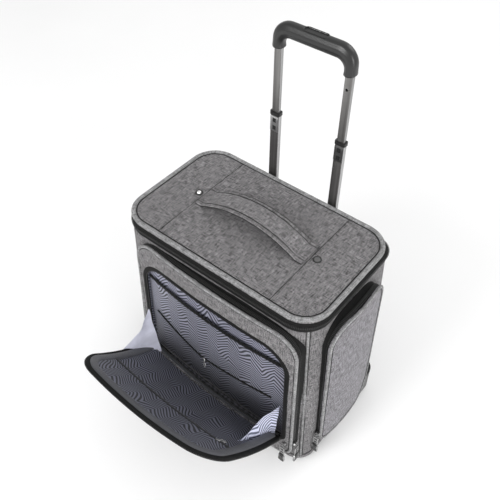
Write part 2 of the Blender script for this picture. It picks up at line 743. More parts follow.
def make_case():
    heights = np.concatenate([BASE_Z + np.array([0, 1, 3, 6]), np.linspace(24, 396, 56), [RIM_Z]])
    rows = []
    for z in heights:
        tuck = 3.0 * (1 - sin(min(z - BASE_Z, 6.0) / 6.0 * pi / 2))
        loop = case_loop(z)
        outward = loop - case_loop(z, -1.0)
        swell = 1.2 * sin(pi * (z - BASE_Z) / (RIM_Z - BASE_Z)) - 0.3 - tuck
        rows.append(loop + outward * (swell + ripple(loop, 1.0, 70.0))[:, None])
    rows = np.array(rows)
    shell = own(grid("case_fabric", rows, True, drop=well_cells(rows)), SHELL, None)
    solid(shell, 2.6)
    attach(shell, "case")
    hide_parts("front_wall", "back_wall", "left_wall", "right_wall")

    inner = np.array([case_loop(z, -4.2) for z in np.linspace(20.5, RIM_Z - 1, 40)])
    inner = inner + (case_loop(200.0) - case_loop(200.0, -1.0)) * ripple(inner, 1.2, 60.0, 3.0)[..., None]
    lining = own(grid("case_lining", inner, True, drop=well_cells(inner)), LINING, "case")
    solid(lining, 0.8, 1.0)

    # piping and its two seam lines up the middle of each corner
    pipes, seams = [], []
    for corner in range(4):
        for aside, profile, pieces in (
            (0.0, oval(4.4, 4.0), pipes),
            (-3.4, oval(1.3, 0.9, 8), seams),
            (3.4, oval(1.3, 0.9, 8), seams),
        ):
            line = corner_line(corner, aside)
            pieces.append(sweep("corner", line, profile, unit(line[0] * np.array([1.0, 1.0, 0.0]))))
    own(joined("corner_piping", pipes), BINDING, "case")
    own(joined("corner_seams", seams), DARK_THREAD, "case")

    # bound edge round the foot, broken at the wheels and under the guards
    loop = case_loop(BASE_Z, -0.2)
    loop[:, 2] = BASE_Z - 1.5
    pipes = [sweep("foot", run, oval(5.0, 9.0), UP) for run in runs(loop, loop[:, 1] < GUARD_Y)]
    own(joined("foot_binding", pipes), SHELL, "case")
    loop = case_loop(BASE_Z + 10, 0.5)
    rows = rows_of(STITCH, loop, loop[:, 1] < GUARD_Y, UP, 4.2, 0.9)
    own(joined("foot_stitching", rows), GREY_THREAD, "case")


def corner_middle(corner):
    """The place of a corner's middle in case_loop: back right, back left, front left, front right."""
    return sum(PLAN_EDGES[:corner]) + corner * PLAN_ARC + PLAN_ARC // 2


def make_divider():
    """The padded laptop divider: two quilted faces with a bound top edge."""
    low, high = local_box("laptop_divider")
    loop = rounded_loop(
        [(high[0], high[2]), (low[0], high[2]), (low[0], low[2]), (high[0], low[2])],
        (40.0, 40.0, 4.0, 4.0), (40, 36, 40, 36), 10,
    )
    middle = np.array([0.0, (low[2] + high[2]) / 2])
    y_mid, half_t = (low[1] + high[1]) / 2, (high[1] - low[1]) / 2
    rows = []
    for face in (-1, 1):
        stack = []
        for share in [*np.linspace(0.02, 0.97, 16), 1.0]:
            flat = middle + (loop - middle) * share
            quilt = 0.7 + 0.3 * np.abs(np.sin(flat[:, 0] / 40 * pi) * np.sin(flat[:, 1] / 40 * pi))
            y = y_mid + face * half_t * quilt * (1 - share**8 * 0.55)
            stack.append(np.column_stack([flat[:, 0], y, flat[:, 1]]))
        rows += stack if face < 0 else stack[::-1]
    pad = own(grid("divider_pad", rows, True, flat=(0, 2)), LINING, "case")
    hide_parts("laptop_divider")
    edge = np.column_stack([loop[:, 0], np.full(len(loop), y_mid), loop[:, 1]])
    own(sweep("divider_binding", edge, oval(7.0, 6.0), FRONT, True), TAPE, "case")


# ---------------------------------------------------------------- lid
def lid_loop(inset, z):
    radius = max(LID_R - inset, 4)
    return at_height(plan_loop(LID_HALF_W - inset, LID_HALF_D - inset, radius, radius), z)


def lid_height(x, y):
    """The gently crowned top of the lid."""
    return LID_Z + 1.6 * (1 - (x / 200.0) ** 2) * (1 - (y / 119.0) ** 2) - 0.4


def make_lid():
    rows = [lid_loop(6.0, LID_Z - LID_T + 0.4), lid_loop(3.0, LID_Z - LID_T), lid_loop(1.6, LID_Z - 9.0)]
    rows += [lid_loop(1.4, LID_Z - 6.0), lid_loop(2.6, LID_Z - 3.0), lid_loop(5.0, LID_Z - 0.9)]
    edge = lid_loop(7.5, LID_Z)
    for share in np.linspace(1.0, 0.01, 30):
        ring = edge * np.array([share, share, 1.0])
        ring[:, 2] = lid_height(ring[:, 0], ring[:, 1]) - 1.6 * share**24 + ripple(ring, 0.5, 45.0)
        rows.append(ring)
    top = own(grid("lid_cushion", rows, True, flat=(0, 1)), SHELL, "lid")
    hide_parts("lid_board")

    under = [lid_loop(8.0, LID_Z - LID_T - 0.2) * np.array([s, s, 1.0]) for s in np.linspace(1.0, 0.01, 16)]
    own(grid("lid_lining", under, True, flat=(0, 1)), LINING, "lid")

    # bound edge: a full roll of fabric with a sunk dark seam just inside it
    roll = own(sweep("lid_binding", lid_loop(3.6, LID_Z - 2.4), oval(8.2, 7.2, 16), UP, True), BINDING,
               "lid")
    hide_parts("lid_piping")
    seam = lid_loop(9.0, 0.0)
    seam[:, 2] = lid_height(seam[:, 0], seam[:, 1]) - 0.9
    own(sweep("lid_edge_seam", seam, oval(1.7, 1.2, 8), UP, True), DARK_THREAD, "lid")
    skirt_heights = np.linspace(409.5, 418.5, 5)
    skirt = [lid_loop(2.2 + 0.6 * abs(k - 2), z) for k, z in enumerate(skirt_heights)]
    own(grid("lid_skirt", skirt, True), BINDING, "lid")

    # two seams run front to back across the lid at the strap's ends
    lines, stitches = [], []
    for x in (-LID_SEAM_X, LID_SEAM_X):
        ys = np.linspace(-110, 110, 60)
        line = np.column_stack([np.full(60, x), ys, lid_height(x, ys) + 0.05])
        lines.append(sweep("seam", line, oval(1.2, 0.7, 8), UP))
        stitches.append(row_of(STITCH, line, UP, 4.0, 3.0 if x > 0 else -3.0, 0.1))
    own(joined("lid_cross_seams", lines), DARK_THREAD, "lid")
    own(joined("lid_seam_stitches", stitches), GREY_THREAD, "lid")


def make_lid_zip():
    """The lid's zip: a soft black tape each side of the teeth, round all but the hinged back."""
    def band(name, z0, z1, body, node, flip):
        lid_edge = plan_loop(LID_HALF_W - 1.5, LID_HALF_D - 1.5, LID_R - 1.5, LID_R - 1.5)
        rows = []
        for share in np.linspace(0, 1, 7):
            ring = plan_ring(1.6 + 2.0 * sin(pi * (0.15 + 0.7 * share)), z0 + (z1 - z0) * share)
            if flip:
                ring[:, :2] += (lid_edge - ring[:, :2]) * share**2
            rows.append(ring)
        rows = np.array(rows)
        hinge = (np.abs(rows[0][:, 0]) < HINGE_HALF) & (rows[0][:, 1] > 100)
        tape = own(grid(name, rows, True, drop=np.tile(hinge, (6, 1))), TAPE, body)
        solid(tape, 1.0)
        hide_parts(node)
        line = plan_ring(3.0, (z0 if flip else z1) + (0.6 if flip else -0.6))
        teeth = rows_of(TOOTH, line, ~hinge, UP, TOOTH_PITCH, 0.4)
        own(joined(name + "_teeth", teeth), TEETH, body)

    band("lid_tape_lower", *LOWER_TAPE_Z, "case", "lid_zip_lower", False)
    band("lid_tape_upper", *UPPER_TAPE_Z, "lid", "lid_zip_upper", True)

    # the fabric hinge along the back
    xs = np.linspace(-HINGE_HALF, HINGE_HALF, 60)
    rows = []
    for k, z in enumerate(np.linspace(392, 415, 10)):
        bulge = 1.8 * sin(pi * k / 9.0)
        rows.append(np.column_stack([xs, np.full(60, 117.4 + bulge), np.full(60, z)]))
    hinge = own(grid("lid_hinge_fabric", rows), SHELL, None)
    solid(hinge, 1.0)
    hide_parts("lid_hinge_strip")
    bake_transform(hinge)


def plan_ring(grow, z):
    """The case's rim outline drawn out by grow, at a height."""
    return at_height(plan_loop(TOP_HALF_W + grow, TOP_HALF_D + grow, TOP_R + grow, TOP_BACK_R + grow), z)


def strap_height(x):
    """Height of the strap's underside above the lid: flat ends and an arch between them."""
    arc_end = STRAP_HALF_SPAN - 14.0
    radius = (arc_end**2 + STRAP_RISE**2) / (2 * STRAP_RISE)
    x = np.clip(np.abs(x), 0, arc_end)
    return np.sqrt(radius**2 - x**2) - (radius - STRAP_RISE)


def make_strap():
    end = np.linspace(99, STRAP_HALF_SPAN, 8)
    xs = np.concatenate([-end[::-1], np.linspace(-96, 96, 70), end])
    base = LID_Z + 0.8
    profile = []
    for share in np.linspace(-1, 1, 25):
        edge = max(abs(share) - 0.74, 0.0) / 0.26
        thick = STRAP_T + 0.9 * sin(pi * min(edge, 1.0)) - 1.4 * max(edge - 0.8, 0.0) / 0.2
        profile.append((share * STRAP_HALF_W, thick))
    for share in np.linspace(1, -1, 9):
        profile.append((share * (STRAP_HALF_W - 0.6), 0.4))
    profile = np.array(profile)
    rows = []
    for x in xs:
        height = base + strap_height(x)
        cup = 0.9 * (1 - (x / STRAP_HALF_SPAN) ** 2)
        sag = cup * (profile[:, 0] / STRAP_HALF_W) ** 2
        rows.append(np.column_stack([np.full(len(profile), x), profile[:, 0], height + profile[:, 1] - sag]))
    strap = own(grid("carry_strap_fabric", rows, True, flat=(0, 1)), STRAP, "lid")
    close_ends(strap, len(profile))
    smoothed(strap)
    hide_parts("carry_strap")

    # stitching along both borders and a box with a cross at each end
    rows = []
    for y in (-19.2, 19.2, -22.6, 22.6):
        line = np.column_stack([xs, np.full(len(xs), y), base + strap_height(xs) + STRAP_T + 0.1])
        rows.append(row_of(STITCH, line, UP, STRAP_STITCH))
    for hand in (-1, 1):
        for x in (96.5, 109.0):
            ys = np.linspace(-19, 19, 16)
            height = base + strap_height(hand * x) + STRAP_T + 0.1
            line = np.column_stack([np.full(16, hand * x), ys, np.full(16, height)])
            rows.append(row_of(STITCH, line, UP, STRAP_STITCH))
    own(joined("strap_stitching", rows), GREY_THREAD, "lid")
    edges = []
    for y, lift, wide in ((-17.4, STRAP_T, 1.3), (17.4, STRAP_T, 1.3), (-24.9, 1.0, 1.7), (24.9, 1.0, 1.7)):
        line = np.column_stack([xs, np.full(len(xs), y), base + strap_height(xs) + lift])
        edges.append(sweep("edge", line, oval(wide, 0.9, 8), UP))
    own(joined("strap_seams", edges), DARK_THREAD, "lid")


def close_ends(obj, around):
    """Close a tube-like grid at its two ends."""
    with editing(obj) as work:
        bmesh.ops.holes_fill(work, edges=[e for e in work.edges if e.is_boundary], sides=around + 1)
    shade_smooth(obj)


def turned(name, profile, centre, count=40):
    """A shape turned about an upright line: profile is (radius, height) from the middle outwards."""
    rows = []
    for radius, height in profile:
        turns = np.linspace(0, 2 * pi, count, endpoint=False)
        ring = np.stack([centre[0] + radius * np.cos(turns), centre[1] + radius * np.sin(turns),
                         np.full(count, centre[2] + height)], 1)
        rows.append(ring)
    return grid(name, rows, True)


def make_studs():
    """Rivet studs outside the strap's ends: a bright dome and a plain dark ringed cap."""
    z = LID_Z + 0.6
    dome = [(0.02, 4.0), (1.2, 3.9), (2.6, 3.3), (3.8, 2.2), (4.4, 1.0), (4.6, 0.4)]
    ring = [(4.4, 0.2), (4.6, 1.0), (5.4, 1.5), (6.6, 1.3), (7.2, 0.5), (7.4, -0.6)]
    cap = [(0.02, 2.0), (1.6, 2.0), (1.9, 1.5), (2.4, 1.5), (2.7, 2.1), (4.4, 2.0), (4.9, 1.2), (5.3, 1.1)]
    flange = [(5.2, 0.9), (5.6, 1.6), (6.4, 1.7), (7.2, 0.9), (7.4, -0.6)]
    bright = own(turned("stud_dome", dome, (-STUD_X, 0, z)), CHROME, "lid")
    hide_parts("lid_studs")
    own(turned("stud_ring", ring, (-STUD_X, 0, z)), DARK_METAL, "lid")
    own(turned("stud_cap", cap, (STUD_X, 0, z)), GUNMETAL, "lid")
    own(turned("stud_flange", flange, (STUD_X, 0, z)), DARK_METAL, "lid")


# ---------------------------------------------------------------- front pocket
def side_out(line, middle, normal):
    """Unit vectors pointing away from a middle, square to a normal."""
    out = line - middle
    return unit(out - (out @ normal)[:, None] * normal)


def zip_chain(name, line, lean, towards, body, wanted):
    """Teeth along a zip that runs round a pocket's edge, facing outwards."""
    parts = []
    for run, outs in zip(runs(line, wanted), runs(lean, wanted)):
        spots = evenly(run, TOOTH_PITCH)
        out = unit(evenly(run, TOOTH_PITCH, outs))
        tangent = unit(np.gradient(spots, axis=0))
        across = np.cross(tangent, out)
        across *= np.sign(across @ towards)[:, None]
        parts.append(copies(TOOTH, spots, tangent, across, out))
    own(joined(name, parts), TEETH, body)


def zip_tapes(names, line, rear, front, towards, middle, wanted, body, sink, offset):
    """A pocket's zip: a tape and teeth on each side, the rear ones on the case, the front on the pocket."""
    lean = side_out(line, middle, -towards)
    for part, a, b, rides, aim in (
        ("rear", rear, line + towards * 0.7, "case", -towards),
        ("front", line - towards * 0.7, front, body, towards),
    ):
        name = names.format("tape", part)
        rows = [a + (b - a) * (k / 6.0) - lean * (sink * sin(pi * (k / 6.0))) for k in range(7)]
        tape = own(grid(name, rows, True), TAPE, rides)
        solid(tape, 1.2, offset)
        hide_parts(names.format("gusset", part))
        chain = (b if part == "rear" else a) - lean * 0.4 - aim * 1.2
        zip_chain(name + "_teeth", chain, lean, aim, rides, wanted)


def make_front_gusset():
    loop = arch_loop(POCKET_ARCH, 0.6)
    line = on_front(loop, ZIP_BOW)
    rear = line.copy()
    rear[:, 1] = wall_y(rear[:, 0], rear[:, 2], -0.6)
    front = on_front(loop, PANEL_BOW, -PANEL_T + 0.6)
    middle, wanted = np.array([POCKET_X, 0.0, 210.0]), loop[:, 1] > FRONT_TEETH_Z0
    zip_tapes("front_{}_{}", line, rear, front, -FRONT, middle, wanted, "front_pocket", 1.6, -1.0)


def make_front_panel():
    def outer(inset, out):
        return on_front(arch_loop(POCKET_ARCH, inset), PANEL_BOW, out)

    def inner(inset, out):
        return on_front(arch_loop(FLAP_ARCH, inset), PANEL_BOW, out)

    # from the back edge over the rolled rim and across to the opening
    rows = [outer(0.0, -PANEL_T), outer(0.2, -1.6), outer(1.2, -0.2)]
    start, stop = arch_loop(POCKET_ARCH, 3.2), arch_loop(FLAP_ARCH, -2.0)
    for k in range(13):
        share = k / 12
        lift = 1.4 * sin(pi * share) ** 0.7 if 0 < share < 1 else 0.2
        rows.append(on_front(start + (stop - start) * share, PANEL_BOW, lift))
    rows = np.array(rows + [inner(-0.8, -0.4), inner(0.0, -PANEL_T)])
    rows[:, :, 1] -= ripple(rows, 0.8, 42.0, 5.0)
    panel = own(grid("front_panel_fabric", rows, True, flat=(0, 2)), SHELL, "front_pocket")
    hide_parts("front_panel")
    back = [outer(0.8, -PANEL_T), inner(-4.0, -PANEL_T)]
    own(grid("front_panel_backing", back, True, flat=(0, 2)), LINING, "front_pocket")
    edge = sweep("front_piping", outer(1.0, -0.6), oval(5.4, 5.2), FRONT, True)
    own(edge, BINDING, "front_pocket")
    seam = sweep("front_piping_seam", outer(4.6, 0.35), oval(1.7, 1.0, 8), FRONT, True)
    own(seam, DARK_THREAD, "front_pocket")

    # black zip tape sewn round the flap's opening
    wide = ((-7.6, 0.7), (-7.0, 1.5), (-3.5, 2.0), (0.2, 1.6), (0.8, 0.6), (0.8, -3.6))
    tape = grid("opening_tape", [inner(inset, out) for inset, out in wide], True)
    own(tape, TAPE, "front_pocket")
    wanted = arch_loop(FLAP_ARCH)[:, 1] > OPENING_TEETH_Z0
    teeth = rows_of(TOOTH, inner(0.9, 0.4), wanted, FRONT, TOOTH_PITCH)
    own(joined("opening_teeth", teeth), TEETH, "front_pocket")
    line = inner(-5.6, 1.75)
    stitches = row_of(STITCH, np.concatenate([line, line[:1]]), FRONT, 4.0)
    own(joined("opening_stitching", [stitches]), DARK_THREAD, "front_pocket")


def spread(loop, share):
    """A loop drawn in towards its own middle."""
    middle = (loop.max(axis=0) + loop.min(axis=0)) / 2
    return middle + (loop - middle) * share


def make_lining():
    loop = arch_loop(FLAP_ARCH, -3.4)
    rows = []
    for share in np.linspace(0.01, 0.955, 22):
        ring = on_front(spread(loop, share), LINING_BOW, -0.8)
        ring[:, 1] += ripple(ring, 0.5, 38.0, 2.0)
        rows.append(ring)
    for share, out in ((0.972, -0.4), (0.985, 0.8), (0.994, 2.6)):
        rows.append(on_front(spread(loop, share), LINING_BOW, out))
    side_low = on_front(loop, LINING_BOW, 3.0)
    side_high = on_front(loop, PANEL_BOW, -PANEL_T + 0.2)
    for k in range(1, 6):
        rows.append(side_low + (side_high - side_low) * k / 5.0)
    lining = grid("pocket_lining_cloth", rows, True, flat=(0, 2))
    own(lining, LINING, "front_pocket")
    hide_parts("pocket_lining")


def flap_half(z, inset):
    """Half the width of the flap's outline at a height."""
    half_top, half_foot, z0, z1, radii = FLAP_ARCH
    k = (z - z0) / (z1 - z0)
    half = half_foot + (half_top - half_foot) * k - inset
    radius = radii[0] - inset
    over = np.clip(z - (z1 - inset - radius), 0, radius)
    return half - radius + np.sqrt(np.maximum(radius**2 - over**2, 0))


def make_slip_pocket():
    """The slip pocket on the back of the opening, gathered by an elastic along its top."""
    shares = np.linspace(-1, 1, 56)
    rows = []
    for z in np.linspace(SLIP_Z0, SLIP_Z1, 34):
        x = shares * flap_half(z, 3.0)
        belly = (1 - shares**2) * ((z - SLIP_Z0) / (SLIP_Z1 - SLIP_Z0)) ** 2
        loop = np.column_stack([x, z - 5.0 * belly])
        place = on_front(loop, LINING_BOW, 0.8 + 2.8 * max(0.0, 1 - (z - SLIP_Z0) / 16))
        place[:, 1] -= 3.4 * belly + ripple(place, 0.5, 30.0, 9.0)
        rows.append(place)
    rows = np.array(rows)
    slip = own(grid("slip_pocket_cloth", rows, flat=(0, 2)), SLIP_LINING, "front_pocket")
    solid(slip, 0.7)
    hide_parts("slip_pocket")
    top = rows[-1] + np.array([0.0, -0.7, -2.6])
    band = sweep("slip_elastic", top, oval(1.8, 8.4, 14, 0.6), UP)
    own(band, ELASTIC, "front_pocket")

    # a fine sagging zip across the slip pocket, with its own small slider
    xs = np.linspace(*SLIP_ZIP_X, 90)
    place_x = xs + POCKET_X
    fall = np.clip((-15.0 - place_x) / 102.0, 0, 2) ** 1.4
    rise = np.clip((place_x + 15.0) / 155.0, 0, 1) ** 1.3
    heights = SLIP_ZIP_Z + 37.0 * fall + 24.0 * rise
    line = on_front(np.column_stack([xs, heights]), LINING_BOW, 0.0)
    line[:, 1] -= 2.0 + 3.4 * ((heights - SLIP_Z0) / (SLIP_Z1 - SLIP_Z0)) ** 2
    own(sweep("slip_zip_tape", line, oval(4.4, 1.6, 10, 0.7), FRONT), TAPE, "front_pocket")
    chain = line - np.array([0.0, 0.9, 0.0])
    teeth = row_of(TOOTH, chain, FRONT, TOOTH_PITCH, -0.2)
    own(joined("slip_zip_teeth", [teeth]), TEETH, "front_pocket")
    spot = chain[int(np.argmin(np.abs(place_x + 11.0)))]
    small_pull("slip_zip_pull", spot, FRONT, np.array([0.5, -0.3, -0.8]), "front_pocket")


def small_pull(name, spot, out, down, body):
    """A small wire slider and pull lying on a fine zip."""
    down = unit(down)
    aside = np.cross(out, down)
    ring = []
    for turn in np.linspace(0, 2 * pi, 20, endpoint=False):
        ring.append(spot + out * 2.4 + aside * 2.6 * cos(turn) + down * (9.0 + 6.0 * sin(turn)))
    loop = sweep("loop", ring, oval(1.3, 1.3, 8), out, True)
    line = [spot + out * 0.9 + down * d for d in np.linspace(-3.5, 4.0, 6)]
    slider = sweep("slider", line, oval(5.0, 2.6, 12, 0.6), out)
    own(joined(name, [loop, slider]), SILVER, body)


# ---------------------------------------------------------------- flap
def open_flap(points):
    """Swing points of the closed flap out to where it hangs, sagging, its far left corner curled down."""
    points = np.asarray(points, float)
    half_top, half_foot, foot_z, top_z = FLAP_ARCH[:4]
    dy, dz = points[..., 1] - FLAP_AXIS_Y, points[..., 2] - FLAP_AXIS_Z
    a = radians(FLAP_OPEN)
    y = FLAP_AXIS_Y + dy * cos(a) - dz * sin(a)
    z = FLAP_AXIS_Z + dy * sin(a) + dz * cos(a)
    reach = np.clip(dz / (top_z - FLAP_AXIS_Z), 0, 1)
    aside = (points[..., 0] - POCKET_X) / half_foot
    curl = reach**1.5 * np.clip(-aside * half_foot / half_top, 0, 1) ** 2
    nose = reach**2 * np.clip(1 - aside**2, 0, 1)
    z = z - FLAP_SAG * np.sin(pi * reach)
    moved = [v + FLAP_CURL[k] * curl + FLAP_NOSE[k] * nose for k, v in enumerate((points[..., 0], y, z))]
    return np.stack(moved, -1)


def flap_ring(inset, out, share=1.0):
    """A closed-flap ring with its foot cut level at the hem, drawn in by share."""
    loop = arch_loop(FLAP_ARCH, inset)
    loop[:, 1] = np.maximum(loop[:, 1], FLAP_AXIS_Z + FLAP_HEM)
    return on_front(spread(loop, share), PANEL_BOW, out)


def flap_piece(name, rows, closed, material):
    """A piece of the open flap from rows of the closed one, which also give its UVs."""
    piece = own(grid(name, open_flap(rows), closed), material, "flap")
    flat = rows.reshape(-1, 3)[:, [0, 2]] * MM
    places = np.array([flat[loop.vertex_index] for loop in piece.data.loops])
    piece.data.uv_layers[0].data.foreach_set("uv", places.ravel())
    return piece


def make_flap():
    normal = np.array([0.0, cos(radians(FLAP_OPEN)), sin(radians(FLAP_OPEN))])
    hem_z = FLAP_AXIS_Z + FLAP_HEM

    # outer face, padded, with a rolled rim
    rows = [flap_ring(5.0, 1.2 * (1 - share**4) + 0.2, share) for share in np.linspace(0.01, 0.99, 22)]
    rows = np.array(rows + [flap_ring(4.2, -0.6), flap_ring(4.2, -2.6)])
    rows[:, :, 1] -= ripple(rows, 0.8, 46.0, 7.0)
    outer = flap_piece("flap_fabric", rows, True, SHELL)
    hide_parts("flap_panel")

    # inner face, the printed lining, a little sunk inside the soft raised rim
    rows = np.array([flap_ring(20.0, -PANEL_T - 0.2, share) for share in np.linspace(0.01, 1.0, 22)])
    rows[:, :, 1] += ripple(rows, 0.9, 40.0, 11.0)
    inner = flap_piece("flap_lining_cloth", rows, True, FLAP_LINING)
    loop = arch_loop(FLAP_ARCH, 15.5)
    line = open_flap(on_front(loop, PANEL_BOW, -PANEL_T - 0.4))
    above = loop[:, 1] > hem_z + 10
    parts = [sweep("rim", run, oval(17.0, 7.0, 16, 0.85), normal) for run in runs(line, above)]
    own(joined("flap_rim_roll", parts), RIM_CLOTH, "flap")

    # black zip tape and teeth round the edge
    loop = arch_loop(FLAP_ARCH, 4.3)
    above = loop[:, 1] > hem_z + 1
    edge = open_flap(on_front(loop, PANEL_BOW, -2.2))
    parts = [sweep("tape", run, oval(9.6, 6.2, 14, 0.7), normal) for run in runs(edge, above)]
    tape = own(joined("flap_edge_tape", parts), TAPE, "flap")
    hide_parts("flap_zip_tape")
    line = open_flap(on_front(arch_loop(FLAP_ARCH, -0.2), PANEL_BOW, -1.2))
    teeth = rows_of(FLIPPED_TOOTH, line, above, normal, TOOTH_PITCH)
    own(joined("flap_teeth", teeth), TEETH, "flap")

    # the flap's own slip pocket with its bound edge
    xs = np.linspace(-1, 1, 50)
    rows = []
    for z in np.linspace(FLAP_SLIP_Z, FLAP_SLIP_Z1, 22):
        loop = np.column_stack([xs * flap_half(z, 24.0), np.full(50, z)])
        rows.append(on_front(loop, PANEL_BOW, -PANEL_T - 1.6))
    rows = np.array(rows)
    rows[:, :, 1] += ripple(rows, 0.5, 30.0, 4.0) + 1.6 * (1 - xs**2) * np.linspace(1, 0, 22)[:, None] ** 2
    slip = flap_piece("flap_slip_cloth", rows, False, FLAP_LINING)
    solid(slip, 0.7)
    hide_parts("flap_slip_pocket")
    line = open_flap(rows[0] + np.array([0.0, 0.7, 1.5]))
    band = sweep("flap_slip_binding", line, oval(6.5, 2.4, 12, 0.6), normal)
    own(band, DEEP_BINDING, "flap")
    ridge = open_flap(rows[0] + np.array([0.0, 2.2, 1.5]))
    own(sweep("flap_slip_ridge", ridge, oval(1.3, 0.8, 8), normal), GREY_THREAD, "flap")
    spot = open_flap(rows[1][int(0.93 * 49)]) + normal * 1.6
    small_pull("flap_slip_pull", spot, normal, np.array([0.8, 0.4, -0.4]), "flap")

    # the folded cloth along the hinge
    xs = np.linspace(-FLAP_FOLD_HALF, FLAP_FOLD_HALF, 60)

    def across(z, out):
        return on_front(np.column_stack([xs, np.full(60, z)]), PANEL_BOW, out - 3.0)

    rows = [across(z, out) for out, z in ((1.5, 96.0), (-0.4, 92.6), (-1.6, 90.6), (-3.0, 92.0))]
    hem = open_flap(across(101.0, 0.0))
    rows += [(rows[-1] + hem) / 2 + np.array([0.0, -1.5, -1.0]), hem]
    solid(own(grid("flap_hinge_cloth", rows), RIM_CLOTH, "front_pocket"), 1.0)


def make_gores():
    """Thin cloth webs between the opening's sides and the flap, folded and creased."""
    for hand, name, node, material, upper, corner, hem, cut, area in (
        (-1, "gore_left", "flap_gore_left", GORE_CLOTH, (-151.0, -132.0, 208.0), (-116.0, -141.5, 88.0),
         (-148.0, -137.0, 206.0), (0.125, 0.078), 0.0048),
        (1, "gore_right", "flap_gore_right", GORE_PRINT, (163.0, -131.0, 190.0), (160.0, -139.0, 96.0),
         (136.0, -143.0, 206.0), (0.103, 0.084), 0.0043),
    ):
        steps = 26
        upper, corner = np.array(upper), np.array(corner)
        out = open_flap(np.array([hem]))[0] + np.array([0.0, 0.0, 5.0])
        bow = 5.0 if hand < 0 else -14.0
        rows = []
        for i in range(steps + 1):
            s = i / steps
            start = corner + (upper - corner) * s
            stop = corner + (out - corner) * s
            row = []
            for j in range(steps + 1):
                t = j / steps
                point = start + (stop - start) * t
                bay = 0.14 * sin(pi * t) * s**3
                point = point + (corner - point) * bay
                fold = bow * sin(pi * t) * s * (1.5 - s)
                crease = 1.6 * sin(pi * t) * sin(9.0 * s + 5.0 * t) * s
                row.append(point + np.array([hand * (fold + crease), 0.0, -2.0 * sin(pi * t) * s]))
            rows.append(row)
        rows = np.array(rows)
        rows[:, :, 0] += ripple(rows, 4.5, 26.0, 13.0 + hand) * np.linspace(0, 1, steps + 1)[:, None]
        gore = own(grid(name, rows, flat=(1, 2)), material, "front_pocket")
        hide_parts(node)
        smoothed(gore)
        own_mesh(gore)


# ---------------------------------------------------------------- side pockets
def make_side_pockets():
    for hand, side in ((1, "right"), (-1, "left")):
        make_side_pocket(hand, side)


def make_side_pocket(hand, side):
    def at(inset, out, share=1.0):
        loop = arch_loop(SIDE_ARCH, inset)
        return on_side(spread(loop, share) if share < 1 else loop, SIDE_BOW, out, hand)

    body = f"side_pocket_{side}"
    normal = np.array([float(hand), 0.0, 0.0])
    loop = arch_loop(SIDE_ARCH, 0.6)
    line = on_side(loop, SIDE_ZIP_BOW, 0.0, hand)
    rear = line.copy()
    rear[:, 0] = hand * wall_x(rear[:, 1], rear[:, 2], -0.6)
    middle, wanted = np.array([0.0, SIDE_Y, 215.0]), loop[:, 1] > SIDE_TEETH_Z0
    front = at(0.6, -PANEL_T + 0.6)
    zip_tapes("side_{}_{}_" + side, line, rear, front, -normal, middle, wanted, body, 1.5, -1.0 * hand)

    rows = [at(0.0, -PANEL_T), at(0.2, -1.6), at(1.2, -0.2)]
    rows += [at(3.2, 2.2 * (1 - share**3), share) for share in np.linspace(1.0, 0.01, 24)]
    rows = np.array(rows)
    rows[:, :, 0] += hand * ripple(rows, 1.1, 48.0, 17.0)
    panel = own(grid(f"side_fabric_{side}", rows, True, flat=(1, 2)), SHELL_LIGHT, body)
    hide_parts(f"side_panel_{side}")
    back = [at(0.8, -PANEL_T, share) for share in np.linspace(1.0, 0.01, 8)]
    own(grid(f"side_backing_{side}", back, True, flat=(1, 2)), LINING, body)
    edge = sweep(f"side_piping_{side}", at(1.0, -0.6), oval(5.2, 5.0), normal, True)
    own(edge, BINDING, body)
    seam = sweep(f"side_seam_{side}", at(4.4, 0.5), oval(1.8, 1.1, 8), normal, True)
    own(seam, DARK_THREAD, body)


# ---------------------------------------------------------------- back cover and handle
def bridge(half, top, radius, foot, counts):
    """A line up from a left foot, round a corner, straight over, round another and down to a right foot."""
    leg, arc, over = counts
    corner = top - radius
    line = [(-half, h) for h in np.linspace(foot, corner, leg)[:-1]]
    for turn in np.linspace(180, 90, arc):
        line.append((-half + radius + radius * cos(radians(turn)), corner + radius * sin(radians(turn))))
    line += [(x, top) for x in np.linspace(-half + radius, half - radius, over)[1:-1]]
    for turn in np.linspace(90, 0, arc):
        line.append((half - radius + radius * cos(radians(turn)), corner + radius * sin(radians(turn))))
    line += [(half, h) for h in np.linspace(corner, foot, leg)[1:]]
    return np.array(line)


def make_cover():
    """The padded cover over the handle's outer tubes."""
    line = bridge(COVER_HALF, COVER_Y, COVER_R, COVER_FOOT_Y, (5, 9, 50))
    rows = []
    for z in np.linspace(COVER_Z0 + 0.5, COVER_Z1 - 0.5, 40):
        row = at_height(line, z)
        swell = 0.9 * sin(pi * (z - COVER_Z0) / (COVER_Z1 - COVER_Z0))
        row[:, 1] += swell * (row[:, 1] > COVER_Y - COVER_R)
        row[:, 1] += ripple(row, 0.7, 50.0, 21.0) * (row[:, 1] > 130)
        rows.append(row)
    cover = own(grid("handle_cover_fabric", rows), SHELL, "case")
    solid(cover, 2.2)
    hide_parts("handle_cover")
    edges = [sweep("edge", at_height(line, z), oval(3.4, 3.4), UP) for z in (COVER_Z0 + 1.5, COVER_Z1 - 1.5)]
    own(joined("cover_piping", edges), BINDING, "case")


